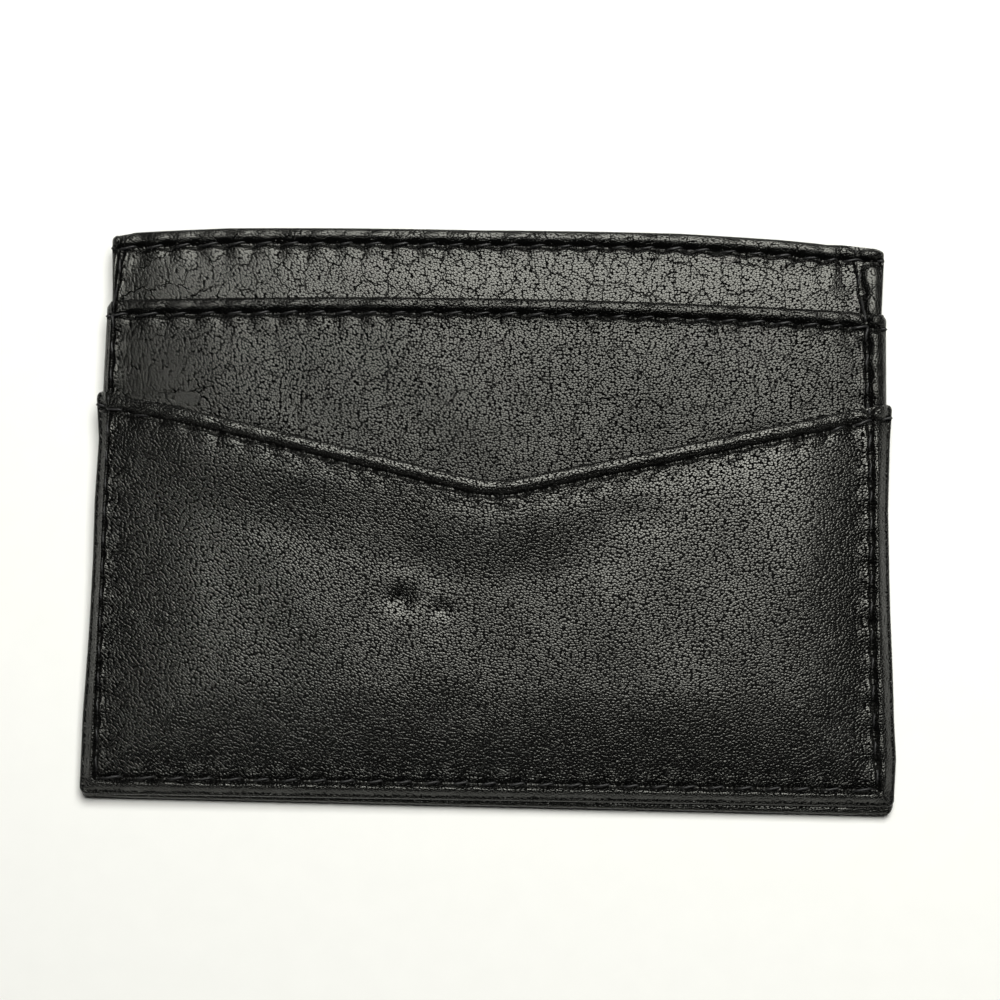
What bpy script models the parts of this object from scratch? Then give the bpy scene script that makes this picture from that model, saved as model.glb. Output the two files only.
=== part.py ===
"""A slim card wallet in black leather, empty, lying on its back.

Metres, +Z up. X runs along the wallet's width, Y towards its mouths and Z out of
its front. Z = 0 is the flat outer face of the back pocket that it rests on.

Two sewn halves share one centre pocket. Each half is a stack of leather tiers,
and each tier is narrower than the one outside it. Depths in a half are measured
outwards from the middle of the centre pocket.
"""

import math
from dataclasses import dataclass

import bmesh
import bpy

# Outline, seen from the front
WIDTH = 0.1010
HEIGHT = 0.0721
TIER_STEP = 0.0006
CORNER_RADIUS = 0.0010
MOUTH_ARCH = 0.0011
MIDDLE_MOUTH_DROP = 0.0086
OUTER_MOUTH_DROP = 0.0201
V_DEPTH = 0.0114
V_SOFTENING = 0.0035
TIER_COVER = 0.0050

# Leather: a skin whose edges are turned over into a second layer
SKIN = 0.00055
FLAP = 0.00035
FLAP_WIDTH = 0.0060
FLAP_SKIVE = 0.0008
SKIVED_SKIN = 0.00035
CROWN = 0.0005
CROWN_REACH = 0.0120

# Fabric and shield sheets inside
LINING = 0.00020
SHIELD = 0.00010
LAYER_GAP = 0.00010
CENTRE_GAP = 0.00020
LINING_REVEAL = 0.0006
SEAM_ALLOWANCE = 0.0004
SHIELD_INSET = 0.0050

# Lockstitch seams: thread that lies in a groove pressed into the leather
STITCH = 0.0035
THREAD_RADIUS = 0.00018
THREAD_GAP = 0.00003
STITCH_LIFT = 0.00004
THREAD_COVER = 0.00002
THREAD_END_GAP = 0.00030
GROOVE_WALL_SHARE = 0.77
BEAD_FLAT = 0.00090
SIDE_MARGIN = 0.00020
BOTTOM_MARGIN = 0.0010
SEAM_NOTCH = 0.00030

# Finishes: colour, roughness, metallic
BLACK_LEATHER = ("black_leather", (0.016, 0.016, 0.015), 0.46, 0.0)
BLACK_THREAD = ("black_thread", (0.010, 0.010, 0.010), 0.60, 0.0)
DARK_LINING = ("dark_lining", (0.030, 0.030, 0.032), 0.80, 0.0)
SHIELD_FOIL = ("shield_foil", (0.420, 0.430, 0.440), 0.45, 0.8)

# Worked out from the sizes above
FOLD = SKIN + FLAP
FOLD_RADIUS = FOLD / 2
FOLD_TURNS = (0, math.pi / 4, math.pi / 2)
THREAD_SEAT = (THREAD_RADIUS + THREAD_GAP) * math.hypot(1, GROOVE_WALL_SHARE)
GROOVE_DEPTH = THREAD_SEAT + THREAD_RADIUS + STITCH_LIFT + THREAD_COVER
GROOVE_HALF = GROOVE_DEPTH / GROOVE_WALL_SHARE
EDGE_CLEARANCE = THREAD_RADIUS + THREAD_GAP
MOUTH_SEAM = FOLD_RADIUS + BEAD_FLAT + GROOVE_HALF
BOTTOM_SEAM = FOLD_RADIUS + BOTTOM_MARGIN + GROOVE_HALF
INNER_TIER = WIDTH / 2 - 2 * TIER_STEP
SIDE_SEAM = INNER_TIER - FOLD_RADIUS - SIDE_MARGIN - GROOVE_HALF
SHEET_HALF = SIDE_SEAM + SEAM_ALLOWANCE
SHEET_LOWER_EDGE_INSET = BOTTOM_SEAM - SEAM_ALLOWANCE
FLAT_ANGLE = math.radians(0.02)
ARCH_SPANS = 4

BOTTOM = -HEIGHT / 2
TOP_MOUTH = BOTTOM + HEIGHT - MOUTH_ARCH
MIDDLE_MOUTH = TOP_MOUTH - MIDDLE_MOUTH_DROP
OUTER_MOUTH = TOP_MOUTH - OUTER_MOUTH_DROP
MIDDLE_LOWER_EDGE = OUTER_MOUTH - V_DEPTH - TIER_COVER
TOP_LOWER_EDGE = MIDDLE_MOUTH - TIER_COVER

# Depths of the layers that stay flat against the centre pocket
BODY_LINING_DEPTH = CENTRE_GAP / 2
SHIELD_DEPTH = BODY_LINING_DEPTH + LINING + LAYER_GAP
TAIL_DEPTH = SHIELD_DEPTH + SHIELD + LAYER_GAP
OVER_TAIL_DEPTH = TAIL_DEPTH + LINING + LAYER_GAP


def between(start, end, share):
    return start + (end - start) * share


@dataclass
class Tier:
    """One leather panel of a half: its outline, and how deep its inner face lies at either end."""

    half_width: float
    lower_edge: float
    mouth_ends: float
    depth_low: float
    depth_mouth: float
    shape: str = "arch"
    turned: bool = False
    crown: float = 0.0

    def mouth(self, x):
        """Height of the mouth's fold at x."""
        if self.shape == "v":
            reach = V_SOFTENING
            across = abs(x) if abs(x) > reach else (x * x / reach + reach) / 2
            return self.mouth_ends - V_DEPTH * (1 - across / self.half_width)
        height = self.mouth_ends + MOUTH_ARCH * (1 - (x / self.half_width) ** 2)
        if self.shape == "notched arch":
            height -= SEAM_NOTCH * max(0, 1 - abs(abs(x) - SIDE_SEAM) / GROOVE_HALF)
        return height

    def rise(self, y):
        """Share of the way from the lower edge to the ends of the mouth."""
        return (y - self.lower_edge) / (self.mouth_ends - self.lower_edge)

    def inner(self, y):
        """Depth of the turned flaps' inner face."""
        return between(self.depth_low, self.depth_mouth, self.rise(y))

    def thickness(self, y):
        return FOLD if self.turned else between(SKIVED_SKIN, FOLD, self.rise(y))

    def puff(self, x, y):
        """How far the pocket swells outwards, away from the seams that hold it."""
        if not self.crown:
            return 0
        from_seam = min(SIDE_SEAM - abs(x), y - self.lower_edge - BOTTOM_SEAM) - GROOVE_HALF
        share = min(1, max(0, from_seam / CROWN_REACH))
        return self.crown * share * (2 - share)

    def outer(self, x, y):
        return self.inner(y) + self.thickness(y) + self.puff(x, y)

    def thread_depth(self, x, y):
        """Depth of a thread's centre where it is pulled down into its groove."""
        return self.outer(x, y) - GROOVE_DEPTH + THREAD_SEAT


def make_tiers(shape, crown):
    """The top, middle and outer tiers of one half, each laid clear of the one beneath it."""
    top = Tier(INNER_TIER, TOP_LOWER_EDGE, TOP_MOUTH, TAIL_DEPTH, TAIL_DEPTH, "notched arch")
    middle_depth = top.outer(0, MIDDLE_MOUTH) + LAYER_GAP
    middle = Tier(INNER_TIER + TIER_STEP, MIDDLE_LOWER_EDGE, MIDDLE_MOUTH, OVER_TAIL_DEPTH, middle_depth)
    outer_depth = middle.outer(0, OUTER_MOUTH) + LAYER_GAP
    outer = Tier(WIDTH / 2, BOTTOM, OUTER_MOUTH, OVER_TAIL_DEPTH, outer_depth, shape, True, crown)
    return {"top": top, "middle": middle, "outer": outer}


FRONT = make_tiers("v", CROWN)
BACK = make_tiers("arch", 0)


def past_side_seam(x):
    """Share of the way from the side seam's groove to the start of the outermost fold."""
    groove_edge = SIDE_SEAM + GROOVE_HALF
    return (abs(x) - groove_edge) / (WIDTH / 2 - FOLD_RADIUS - groove_edge)


def edge_closing(half, tier, y):
    """How far a tier's edge is drawn in at height y, clear of the centre and of the tier beneath."""
    middle = half["middle"]
    narrow = [half["top"], middle]
    shared = min((item.depth_low - LAYER_GAP / 2) / past_side_seam(item.half_width) for item in narrow)
    if tier is not half["outer"]:
        return shared
    low = middle.lower_edge
    slack = tier.inner(low) - middle.outer(0, low) - LAYER_GAP
    rise = (y - low) / (tier.mouth_ends - low)
    over_middle = shared + slack / past_side_seam(middle.half_width) * (1 - rise)
    return min(over_middle, tier.inner(y) - LAYER_GAP / 2)


def drawn_in(half, tier, x, y):
    """How far the leather outside the joining seam is drawn towards the other half."""
    groove_edge = BOTTOM + BOTTOM_SEAM - GROOVE_HALF
    past_bottom_seam = (groove_edge - y) / BOTTOM_MARGIN
    share = min(1, max(0, past_side_seam(x), past_bottom_seam))
    return share * edge_closing(half, tier, y)


def place(side, x, y, depth):
    """A point of the front (side 1) or back (side -1), with the back's outer face on Z = 0."""
    resting = BACK["outer"].outer(0, y)
    return (x, y, resting + side * depth)


def material(finish):
    name, colour, roughness, metallic = finish
    found = bpy.data.materials.get(name)
    if found:
        return found
    made = bpy.data.materials.new(name)
    made.use_nodes = True
    shader = made.node_tree.nodes["Principled BSDF"]
    shader.inputs["Base Color"].default_value = (*colour, 1)
    shader.inputs["Roughness"].default_value = roughness
    shader.inputs["Metallic"].default_value = metallic
    return made


def add_solid(name, points, faces, finish, merge_flat=False):
    mesh = bpy.data.meshes.new(name)
    mesh.from_pydata(points, [], faces)
    solid = bmesh.new()
    solid.from_mesh(mesh)
    bmesh.ops.recalc_face_normals(solid, faces=solid.faces)
    if merge_flat:
        bmesh.ops.dissolve_limit(solid, angle_limit=FLAT_ANGLE, verts=solid.verts, edges=solid.edges)
    solid.to_mesh(mesh)
    solid.free()
    mesh.materials.append(material(finish))
    made = bpy.data.objects.new(name, mesh)
    bpy.context.scene.collection.objects.link(made)
    return made


def fold_insets():
    """How far in from the edge each line of the rounded fold lies."""
    return [FOLD_RADIUS * (1 - math.cos(turn)) for turn in FOLD_TURNS]


def fold_share(inset):
    """Height of the rounded fold over its own middle, as a share of its half thickness."""
    return math.sqrt(max(0, 1 - (1 - min(1, inset / FOLD_RADIUS)) ** 2))


def groove_lines(seam):
    return [seam - GROOVE_HALF, seam, seam + GROOVE_HALF]


def flap_lines():
    return [FLAP_WIDTH, FLAP_WIDTH + FLAP_SKIVE]


def columns(tier):
    """Distances from the middle line at which the panel has a line of points, from edge to edge."""
    half = [tier.half_width - inset for inset in fold_insets() + flap_lines()]
    half += groove_lines(SIDE_SEAM)
    within_flaps = tier.half_width - FLAP_WIDTH - FLAP_SKIVE
    half += [within_flaps * span / ARCH_SPANS for span in range(1, ARCH_SPANS)]
    if tier.crown:
        half.append(SIDE_SEAM - GROOVE_HALF - CROWN_REACH)
    if tier.shape == "v":
        half += [V_SOFTENING, V_SOFTENING / 2]
    half.sort()
    return [-x for x in reversed(half)] + [0] + half


def rows(tier):
    """Lines along the panel, as (from the mouth?, distance), from the lower edge to the mouth."""
    low = []
    if tier.turned:
        low = fold_insets() + groove_lines(BOTTOM_SEAM) + flap_lines()
        below_v = OUTER_MOUTH - V_DEPTH - FLAP_WIDTH - 2 * FLAP_SKIVE - tier.lower_edge
        low += [below_v * 2 / 3, below_v]
        if tier.crown:
            low.append(BOTTOM_SEAM + GROOVE_HALF + CROWN_REACH)
    else:
        low = [0]
    high = fold_insets() + groove_lines(MOUTH_SEAM) + flap_lines()
    return [(False, inset) for inset in sorted(low)] + [(True, inset) for inset in sorted(high, reverse=True)]


def rounded_corner(from_side, from_end):
    """Distances of a corner point after its square corner is drawn in to an arc."""
    over_side = CORNER_RADIUS - from_side
    over_end = CORNER_RADIUS - from_end
    if over_side <= 0 or over_end <= 0:
        return from_side, from_end
    pull = max(over_side, over_end) / math.hypot(over_side, over_end)
    return CORNER_RADIUS - over_side * pull, CORNER_RADIUS - over_end * pull


def groove_share(tier, x, from_low, from_mouth):
    """1 along the middle of a seam's groove and 0 beside it."""

    def across(distance):
        return max(0, 1 - abs(distance) / GROOVE_HALF)

    share = max(0, across(from_mouth - MOUTH_SEAM))
    above_corner = not tier.turned or from_low >= BOTTOM_SEAM
    if above_corner:
        share = max(share, across(abs(x) - SIDE_SEAM))
    if tier.turned and abs(x) <= SIDE_SEAM:
        share = max(share, across(from_low - BOTTOM_SEAM))
    return share


def add_panel(name, side, half, tier):
    """A leather panel with rounded folds, pressed grooves and a recess between its turned flaps."""
    across, along = columns(tier), rows(tier)
    outside, inside = [], []
    flap_reach = FLAP_WIDTH + FLAP_SKIVE
    for from_mouth_line, distance in along:
        for x in across:
            mouth = tier.mouth(x)
            y = mouth - distance if from_mouth_line else tier.lower_edge + distance
            from_side, from_mouth, from_low = tier.half_width - abs(x), mouth - y, y - tier.lower_edge
            edges = [from_side, from_mouth] + ([from_low] if tier.turned else [])
            fold = fold_share(min(edges))
            groove = groove_share(tier, x, from_low, from_mouth)
            within_flaps = min(edges) > between(FLAP_WIDTH, flap_reach, 1 / 2)
            spare = tier.thickness(y) - SKIVED_SKIN
            recess = max(0, min(FLAP, spare)) if within_flaps else 0
            half_thick = tier.thickness(y) / 2
            middle = tier.inner(y) + half_thick + tier.puff(x, y) - drawn_in(half, tier, x, y)
            from_side, from_mouth = rounded_corner(from_side, from_mouth)
            if tier.turned and from_low < CORNER_RADIUS:
                from_side, from_low = rounded_corner(from_side, from_low)
                y = tier.lower_edge + from_low
            else:
                y = mouth - from_mouth
            x = math.copysign(tier.half_width - from_side, x)
            outside.append(place(side, x, y, middle + half_thick * fold - GROOVE_DEPTH * groove))
            inside.append(place(side, x, y, middle - half_thick * fold + recess))
    wide, tall = len(across), len(along)
    points, faces = outside[:], []
    inner_index = {}
    for row in range(tall):
        for column in range(wide):
            at = row * wide + column
            on_rim = column in (0, wide - 1) or row == tall - 1 or (row == 0 and tier.turned)
            inner_index[at] = at if on_rim else len(points)
            if not on_rim:
                points.append(inside[at])
    for row in range(tall - 1):
        for column in range(wide - 1):
            at = row * wide + column
            quad = [at, at + 1, at + 1 + wide, at + wide]
            faces.append(quad)
            faces.append([inner_index[corner] for corner in reversed(quad)])
    if not tier.turned:
        for at in range(wide - 1):
            wall = [at + 1, at, inner_index[at], inner_index[at + 1]]
            faces.append(list(dict.fromkeys(wall)))
    add_solid(name, points, faces, BLACK_LEATHER, merge_flat=True)


def add_sheet(name, side, outline, depth_at, thickness, finish):
    """A thin sheet of fabric or foil, cut to an outline of (x, y) points."""
    count = len(outline)
    near = [place(side, x, y, depth_at(y)) for x, y in outline]
    far = [place(side, x, y, depth_at(y) + thickness) for x, y in outline]
    faces = [list(range(count)), list(range(2 * count - 1, count - 1, -1))]
    for at in range(count):
        after = (at + 1) % count
        faces.append([after, at, at + count, after + count])
    add_solid(name, near + far, faces, finish)


def rectangle(half_width, lower, upper):
    return [(-half_width, lower), (half_width, lower), (half_width, upper), (-half_width, upper)]


def under_mouth(tier, half_width, lower, drop):
    """Outline of a sheet whose top edge runs below a tier's mouth."""
    top = [half_width] + [x for x in reversed(columns(tier)) if abs(x) < half_width] + [-half_width]
    return [(-half_width, lower), (half_width, lower)] + [(x, tier.mouth(x) - drop) for x in top]


def add_sheets(half, side, tiers, outer_name):
    lower = BOTTOM + SHEET_LOWER_EDGE_INSET
    body = under_mouth(tiers["top"], SHEET_HALF, lower, LINING_REVEAL)
    add_sheet(half + "_body_lining", side, body, lambda y: BODY_LINING_DEPTH, LINING, DARK_LINING)
    shield = rectangle(INNER_TIER - SHIELD_INSET, BOTTOM + SHIELD_INSET, TOP_MOUTH - SHIELD_INSET)
    add_sheet(half + "_shield", side, shield, lambda y: SHIELD_DEPTH, SHIELD, SHIELD_FOIL)
    tail = rectangle(SHEET_HALF, lower, tiers["middle"].lower_edge + TIER_COVER)
    add_sheet(half + "_middle_tail", side, tail, lambda y: TAIL_DEPTH, LINING, DARK_LINING)
    outer = tiers["outer"]
    inset = FLAP_WIDTH + FLAP_SKIVE + LAYER_GAP
    pocket = under_mouth(outer, outer.half_width - inset, outer.lower_edge + inset, inset)
    in_recess = (FLAP - LINING) / 2
    add_sheet(outer_name + "_lining", side, pocket, lambda y: outer.inner(y) + in_recess, LINING, DARK_LINING)


def add_thread(name, points):
    """A sewing thread drawn along points, round the stitches of one seam."""
    curve = bpy.data.curves.new(name, "CURVE")
    curve.dimensions = "3D"
    curve.bevel_depth = THREAD_RADIUS
    curve.bevel_resolution = 0
    curve.use_fill_caps = True
    line = curve.splines.new("POLY")
    line.points.add(len(points) - 1)
    for point, (x, y, z) in zip(line.points, points):
        point.co = (x, y, z, 1)
    curve.materials.append(material(BLACK_THREAD))
    made = bpy.data.objects.new(name, curve)
    bpy.context.scene.collection.objects.link(made)


def stitched(side, tier, start, end):
    """Thread points from start to end in a tier's groove: down at each hole, lifted between holes."""
    count = max(1, round(math.dist(start, end) / STITCH))
    points = []
    for step in range(2 * count + 1):
        share = step / (2 * count)
        x = between(start[0], end[0], share)
        y = between(start[1], end[1], share)
        lift = STITCH_LIFT * (step % 2)
        points.append(place(side, x, y, tier.thread_depth(x, y) + lift))
    return points


def add_mouth_thread(name, side, tier):
    """The row of stitches below a mouth, from one side seam to the other."""
    end = SIDE_SEAM - THREAD_END_GAP - 2 * THREAD_RADIUS
    count = 2 * round(end / STITCH)
    points = []
    for step in range(2 * count + 1):
        x = between(-end, end, step / (2 * count))
        y = tier.mouth(x) - MOUTH_SEAM
        lift = STITCH_LIFT * (step % 2)
        points.append(place(side, x, y, tier.thread_depth(x, y) + lift))
    add_thread(name, points)


def side_run(side, x, tiers):
    """Thread points up one side: along each tier's groove, and over each mouth down to the next tier."""
    outer, middle, top = tiers["outer"], tiers["middle"], tiers["top"]
    points = []
    start = BOTTOM + BOTTOM_SEAM
    for tier, beneath in ((outer, middle), (middle, top), (top, None)):
        mouth = tier.mouth(x)
        points += stitched(side, tier, (x, start), (x, mouth - FOLD_RADIUS))
        over = mouth + EDGE_CLEARANCE
        points.append(place(side, x, over, tier.thread_depth(x, mouth)))
        if beneath:
            start = over + FOLD_RADIUS
            points.append(place(side, x, over, beneath.thread_depth(x, over)))
        else:
            points.append(place(side, x, over, THREAD_END_GAP / 2))
    return points


def add_edge_thread(name, side, tiers):
    """The seam that joins the halves: down one side, along the bottom and up the other side."""
    left = side_run(side, -SIDE_SEAM, tiers)
    right = side_run(side, SIDE_SEAM, tiers)
    seam = BOTTOM + BOTTOM_SEAM
    along = stitched(side, tiers["outer"], (-SIDE_SEAM, seam), (SIDE_SEAM, seam))
    add_thread(name, left[::-1] + along[1:-1] + right)


def add_half(half, side, tiers, outer_name):
    add_panel(half + "_top_panel", side, tiers, tiers["top"])
    add_panel(half + "_middle_pocket", side, tiers, tiers["middle"])
    add_panel(outer_name, side, tiers, tiers["outer"])
    add_sheets(half, side, tiers, outer_name)
    add_mouth_thread(half + "_top_mouth_thread", side, tiers["top"])
    add_mouth_thread(half + "_middle_mouth_thread", side, tiers["middle"])
    add_mouth_thread(outer_name + "_mouth_thread", side, tiers["outer"])
    add_edge_thread(half + "_edge_thread", side, tiers)


for item in list(bpy.data.objects):
    bpy.data.objects.remove(item)
add_half("front", 1, FRONT, "front_v_pocket")
add_half("back", -1, BACK, "back_lower_pocket")
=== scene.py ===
"""The looks of a slim black leather card wallet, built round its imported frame.

Metres. X runs along the wallet's width, Y towards its mouths and Z out of its front.
Each half is a stack of sewn leather panels, and depths in a half are measured
outwards from the middle of the centre pocket.
"""

import math
from dataclasses import dataclass

import bpy
import numpy as np
from mathutils import Euler, Matrix, Vector


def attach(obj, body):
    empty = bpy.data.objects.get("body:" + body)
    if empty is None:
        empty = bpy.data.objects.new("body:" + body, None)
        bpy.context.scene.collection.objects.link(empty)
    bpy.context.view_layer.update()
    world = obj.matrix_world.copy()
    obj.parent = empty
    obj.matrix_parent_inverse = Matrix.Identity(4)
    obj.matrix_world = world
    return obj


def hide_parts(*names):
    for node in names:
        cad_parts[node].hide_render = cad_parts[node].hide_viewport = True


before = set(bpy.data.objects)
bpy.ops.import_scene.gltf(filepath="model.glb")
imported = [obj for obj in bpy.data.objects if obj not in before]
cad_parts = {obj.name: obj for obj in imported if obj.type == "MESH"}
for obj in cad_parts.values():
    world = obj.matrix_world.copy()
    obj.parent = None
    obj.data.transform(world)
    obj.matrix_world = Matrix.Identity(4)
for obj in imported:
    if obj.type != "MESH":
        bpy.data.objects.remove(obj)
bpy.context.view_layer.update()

# Outline of the wallet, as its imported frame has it
WIDTH = 0.1010
HEIGHT = 0.0721
TIER_STEP = 0.0006
CORNER_RADIUS = 0.0010
MOUTH_ARCH = 0.0011
MIDDLE_MOUTH_DROP = 0.0086
OUTER_MOUTH_DROP = 0.0201
V_DEPTH = 0.0114
V_SOFTENING = 0.0035
TIER_COVER = 0.0050

# Leather: a skin whose edges are turned over into a second layer
SKIN = 0.00055
FLAP = 0.00035
FLAP_WIDTH = 0.0060
FLAP_SKIVE = 0.0008
SKIVED_SKIN = 0.00035
CROWN = 0.0005
CROWN_REACH = 0.0120

# Fabric and shield sheets inside
LINING = 0.00020
SHIELD = 0.00010
LAYER_GAP = 0.00010
CENTRE_GAP = 0.00020
LINING_REVEAL = 0.0006
SEAM_ALLOWANCE = 0.0004
SHIELD_INSET = 0.0050

# Lockstitch seams
STITCH = 0.0035
THREAD_RADIUS = 0.00018
GROOVE_HALF = 0.00066
THREAD_SINK = 0.00050
SIDE_THREAD_SINK = 0.00060
THREAD_RISE = 0.00013
BEAD_FLAT = 0.00090
SIDE_MARGIN = 0.00020
BOTTOM_MARGIN = 0.0010

# Worked out from the sizes above
FOLD = SKIN + FLAP
FOLD_RADIUS = FOLD / 2
LEAST_LENGTH = FOLD_RADIUS / 1000
MOUTH_SEAM = FOLD_RADIUS + BEAD_FLAT + GROOVE_HALF
BOTTOM_SEAM = FOLD_RADIUS + BOTTOM_MARGIN + GROOVE_HALF
INNER_TIER = WIDTH / 2 - 2 * TIER_STEP
SIDE_SEAM = INNER_TIER - FOLD_RADIUS - SIDE_MARGIN - GROOVE_HALF
SHEET_HALF = SIDE_SEAM + SEAM_ALLOWANCE
BOTTOM = -HEIGHT / 2
TOP_MOUTH = BOTTOM + HEIGHT - MOUTH_ARCH
MIDDLE_MOUTH = TOP_MOUTH - MIDDLE_MOUTH_DROP
OUTER_MOUTH = TOP_MOUTH - OUTER_MOUTH_DROP
MIDDLE_LOWER_EDGE = OUTER_MOUTH - V_DEPTH - TIER_COVER
TOP_LOWER_EDGE = MIDDLE_MOUTH - TIER_COVER
BODY_LINING_DEPTH = CENTRE_GAP / 2
SHIELD_DEPTH = BODY_LINING_DEPTH + LINING + LAYER_GAP
TAIL_DEPTH = SHIELD_DEPTH + SHIELD + LAYER_GAP
OVER_TAIL_DEPTH = TAIL_DEPTH + LINING + LAYER_GAP

# How closely the leather's surface and the sheets are drawn
FOLD_STEPS = 6
SEAM_SPACING = 0.00014
FIELD_SPACING = 0.00045
SEAM_ZONE = 0.0012
INSIDE_SPACING = 0.0040
SHEET_SPACING = 0.0020

# Relief that sewing, filling and handling leave in the leather
GROOVE_REACH = 0.00058
SIDE_GROOVE_REACH = 0.00042
SEAM_CUT = 0.00066
CLOSING_POWER = 1.6
GROOVE_WIDEST_SHARE = 1.30
GROOVE_NARROWEST_SHARE = 0.75
GROOVE_SHALLOW_SHARE = 0.86
HOLE_DEPTH = 0.00020
HOLE_REACH = 0.00050
HOLE_POWER = 6
PUFF = 0.00012
PUFF_FROM_SEAM = 0.00105
PUFF_REACH = 0.00050
BEAD_PUFF = 0.00018
BEAD_AT_HOLE_SHARE = 0.4
UNEVEN_LENGTH = 0.0091
UNEVEN_SHARES = (0.65, 1.35)
PUCKER = 0.00009
PUCKER_REACH = 0.0013
PUCKER_POWER = 8
PULL = 0.00042
PULL_REACH = 0.0022
SWELL = 0.00050
SWELL_REACH = 0.0120
DEEPEST_SHARE = 0.92
NOTCH_DEPTH = 0.00060
NOTCH_REACH = 0.00075
NOTCH_FADE = 0.0022

# How far the V pocket stands proud below its mouth: place across, height
PROUD_MOUTH = (
    (-0.0480, 0.0),
    (-0.0400, 0.00070),
    (-0.0300, 0.00105),
    (0.0050, 0.00095),
    (0.0260, 0.0),
)
PROUD_REACH = 0.0115

# Dents, soft hollows and (below zero) blisters: middle across and up, reach across and up, depth
POCKET_HOLLOWS = (
    (-0.0114, -0.0112, 0.0016, 0.0013, 0.00040),
    (-0.0062, -0.0125, 0.0011, 0.0009, 0.00022),
    (-0.0160, 0.0004, 0.0140, 0.0032, 0.00018),
    (0.0180, -0.0004, 0.0045, 0.0026, 0.00014),
    (-0.0040, -0.0245, 0.0050, 0.0026, 0.00012),
    (0.0430, -0.0265, 0.0040, 0.0030, 0.00016),
)
STRIP_HOLLOWS = (
    (0.0434, 0.0302, 0.0009, 0.0009, -0.00014),
    (0.0410, 0.0289, 0.0010, 0.0008, -0.00008),
)

# Waves of slack leather: height, wavelengths across and along, start of each wave as a share of a turn
WAVES = (
    (0.00005, 0.031, 0.045, 0.10),
    (0.00003, -0.019, 0.024, 0.55),
    (0.00002, 0.013, 0.017, 0.80),
)

# Where the sewn edges and side seams really run, against the straight cut: height, shift outwards
LEFT_EDGE_SHIFTS = (
    (-0.0345, 0.00066),
    (-0.0262, 0.00060),
    (-0.0166, 0.00022),
    (-0.0067, 0.0),
    (0.0009, 0.0),
    (0.0086, -0.00030),
    (0.0136, 0.00010),
    (0.0188, 0.0),
    (0.0264, -0.00015),
    (0.0330, 0.00013),
)
RIGHT_EDGE_SHIFTS = (
    (-0.0345, 0.00020),
    (-0.0300, 0.00045),
    (-0.0250, 0.00020),
    (-0.0200, 0.00008),
    (-0.0100, -0.00030),
    (0.0013, -0.00055),
    (0.0100, -0.00035),
    (0.0141, -0.00010),
    (0.0244, -0.00017),
    (0.0330, 0.00020),
)
LEFT_SEAM_SHIFTS = (
    (-0.0335, 0.0011),
    (-0.0166, 0.0012),
    (0.0136, 0.0010),
    (0.0262, 0.0009),
    (0.0300, 0.0005),
    (0.0345, -0.0001),
)
RIGHT_SEAM_SHIFTS = (
    (-0.0335, 0.0006),
    (-0.0280, 0.0001),
    (-0.0136, -0.0003),
    (0.0050, -0.0004),
    (0.0150, -0.0007),
    (0.0245, -0.0009),
    (0.0284, -0.0014),
    (0.0345, -0.0022),
)
SEAM_SHIFT_REACH = 0.0080

# How much higher than cut the topmost edge lies: place across, lift
TOP_EDGE_LIFTS = (
    (-0.0490, 0.0003),
    (-0.0473, 0.0003),
    (-0.0345, 0.00065),
    (-0.0024, 0.00040),
    (0.0233, 0.00065),
    (0.0362, 0.00040),
    (0.0426, 0.00010),
    (0.0483, 0.00030),
)

# How far the back's bottom edge slips out below the front's, at either side
BACK_SLIP_LEFT = 0.0003
BACK_SLIP_RIGHT = 0.0010

# Sewing threads: their rings, their plies, and how a stitch leans, lifts and dips
RING_SPACING = 0.00026
THREAD_SIDES = 9
PLIES = 3
PLY_LAY = 0.0011
PLY_SHARE = 0.16
STITCH_SLANT = 0.00020
STITCH_LIFT = 0.00010
HOLE_DIP = 0.00045
TACK_REACH = 0.0010

# Passes of the tack beside the joining seam, and turns of a mouth's thread round the side fold, in degrees
TACK_PLACES = (0.00036, -0.00036, 0.0)
FOLD_TURNS = (60, 20, -20)

# One stitch from hole to hole: how far along, how far to the side, how high, as shares
STITCH_SHARES = (
    (0, 0, -1),
    (0.16, -0.7, -0.8),
    (0.32, -0.6, 0.4),
    (0.5, 0, 1),
    (0.68, 0.6, 0.4),
    (0.84, 0.7, -0.8),
)


def between(start, end, share):
    """The value some share of the way from start to end."""
    return start + (end - start) * share


def eased(value):
    """0 to 1 with a soft start and end."""
    share = np.clip(value, 0, 1)
    return share * share * (3 - 2 * share)


def bump(distance, reach):
    """1 at no distance, fading to 0 in a bell shape."""
    return np.exp(-((distance / reach) ** 2))


def cleft(distance, reach):
    """1 at no distance, falling evenly to 0 at the reach, as the sides of a cut do."""
    return np.clip(1 - np.abs(distance) / reach, 0, 1)


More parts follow.
